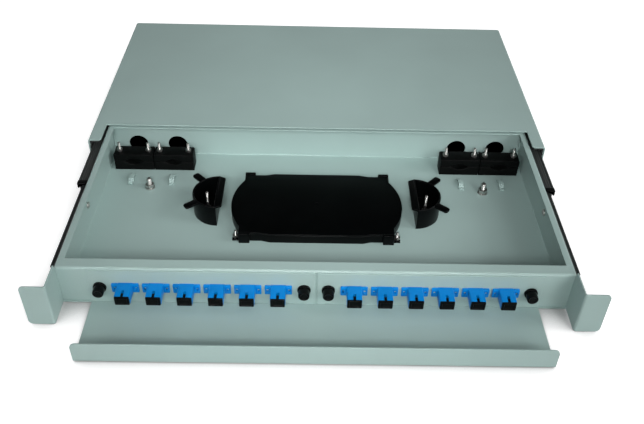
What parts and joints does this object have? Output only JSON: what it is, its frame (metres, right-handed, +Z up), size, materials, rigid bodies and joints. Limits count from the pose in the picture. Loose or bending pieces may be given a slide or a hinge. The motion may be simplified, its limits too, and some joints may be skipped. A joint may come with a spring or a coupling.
{
  "type": "fibre patch panel",
  "caption": "Sliding rack fibre patch panel with its drawer pulled out, blue push-pull adapters, a splice tray, fibre spools and cable clamps",
  "frame": {"origin": "under the middle of the whole with the drawer pulled out, at the foot flanges' undersides", "axes": "+X right across the rack, +Y to the rear, +Z up"},
  "size_m": [0.4826, 0.5166, 0.0442],
  "materials": {
    "panel_paint": "fine powder coat",
    "slide_steel": "black electrocoat",
    "zinc_steel": "bright zinc plate",
    "ball_steel": "polished",
    "adapter_blue": "moulded, satin",
    "black_plastic": "moulded",
    "black_rubber": "moulded",
    "sleeve_bronze": "split bronze tube"
  },
  "bodies": {
    "housing": {"housing_cover": "panel_paint", "slide_rivets": "zinc_steel", "outer_slide_left": "slide_steel", "outer_slide_right": "slide_steel"},
    "middle_left": {"middle_slide_left": "slide_steel", "slide_bumper_left": "black_rubber"},
    "outer_cage_left": {"outer_ball_cage_left": "zinc_steel", "outer_balls_left": "ball_steel"},
    "inner_cage_left": {"inner_ball_cage_left": "zinc_steel", "inner_balls_left": "ball_steel"},
    "middle_right": {"middle_slide_right": "slide_steel", "slide_bumper_right": "black_rubber"},
    "outer_cage_right": {"outer_ball_cage_right": "zinc_steel", "outer_balls_right": "ball_steel"},
    "inner_cage_right": {"inner_ball_cage_right": "zinc_steel", "inner_balls_right": "ball_steel"},
    "pin_1": {"plunger_1": "black_plastic"},
    "pin_2": {"plunger_2": "black_plastic"},
    "pin_3": {"plunger_3": "black_plastic"},
    "pin_4": {"plunger_4": "black_plastic"},
    "drawer": {"adapter_01": "adapter_blue", "adapter_02": "adapter_blue", "adapter_03": "adapter_blue", "adapter_04": "adapter_blue", "adapter_05": "adapter_blue", "adapter_06": "adapter_blue", "adapter_07": "adapter_blue", "adapter_08": "adapter_blue", "adapter_09": "adapter_blue", "adapter_10": "adapter_blue", "adapter_11": "adapter_blue", "adapter_12": "adapter_blue", "adapter_clips": "zinc_steel", "adapter_plate_left": "panel_paint", "adapter_plate_right": "panel_paint", "alignment_sleeves": "sleeve_bronze", "cable_clamp_lowers_left": "black_rubber", "cable_clamp_lowers_right": "black_rubber", "cable_clamp_uppers_left": "black_rubber", "cable_clamp_uppers_right": "black_rubber", "drawer_tray": "panel_paint", "earth_nuts": "zinc_steel", "earth_studs": "zinc_steel", "fibre_spool_left": "black_plastic", "fibre_spool_right": "black_plastic", "floor_studs": "zinc_steel", "front_dust_caps_left": "black_plastic", "front_dust_caps_right": "black_plastic", "front_frame": "panel_paint", "inner_slide_left": "slide_steel", "inner_slide_right": "slide_steel", "inner_slide_screws": "zinc_steel", "plunger_grommets": "black_plastic", "rear_dust_caps": "black_plastic", "small_nuts": "zinc_steel", "splice_comb": "black_plastic", "splice_tray": "black_plastic", "splice_tray_lid": "black_plastic", "tie_saddles": "panel_paint"}
  },
  "joints": [
    {"name": "drawer_slide", "type": "slide", "parent": "housing", "child": "drawer", "axis": [0, 1, 0], "range_m": [0, 0.2084]},
    {"name": "middle_slide_run_left", "type": "slide", "parent": "housing", "child": "middle_left", "axis": [0, 1, 0], "range_m": [0, 0.06689]},
    {"name": "outer_cage_run_left", "type": "slide", "parent": "housing", "child": "outer_cage_left", "axis": [0, 1, 0], "range_m": [0, 0.03354]},
    {"name": "inner_cage_run_left", "type": "slide", "parent": "housing", "child": "inner_cage_left", "axis": [0, 1, 0], "range_m": [0, 0.13774]},
    {"name": "middle_slide_run_right", "type": "slide", "parent": "housing", "child": "middle_right", "axis": [0, 1, 0], "range_m": [0, 0.06689]},
    {"name": "outer_cage_run_right", "type": "slide", "parent": "housing", "child": "outer_cage_right", "axis": [0, 1, 0], "range_m": [0, 0.03354]},
    {"name": "inner_cage_run_right", "type": "slide", "parent": "housing", "child": "inner_cage_right", "axis": [0, 1, 0], "range_m": [0, 0.13774]},
    {"name": "plunger_pull_1", "type": "slide", "parent": "drawer", "child": "pin_1", "axis": [0, -1, 0], "range_m": [0, 0.005]},
    {"name": "plunger_pull_2", "type": "slide", "parent": "drawer", "child": "pin_2", "axis": [0, -1, 0], "range_m": [0, 0.005]},
    {"name": "plunger_pull_3", "type": "slide", "parent": "drawer", "child": "pin_3", "axis": [0, -1, 0], "range_m": [0, 0.005]},
    {"name": "plunger_pull_4", "type": "slide", "parent": "drawer", "child": "pin_4", "axis": [0, -1, 0], "range_m": [0, 0.005]}
  ],
  "couplings": [
    {"joint": "middle_slide_run_left", "follows": "drawer_slide", "ratio": 0.32},
    {"joint": "outer_cage_run_left", "follows": "drawer_slide", "ratio": 0.16},
    {"joint": "inner_cage_run_left", "follows": "drawer_slide", "ratio": 0.66},
    {"joint": "middle_slide_run_right", "follows": "drawer_slide", "ratio": 0.32},
    {"joint": "outer_cage_run_right", "follows": "drawer_slide", "ratio": 0.16},
    {"joint": "inner_cage_run_right", "follows": "drawer_slide", "ratio": 0.66}
  ]
}
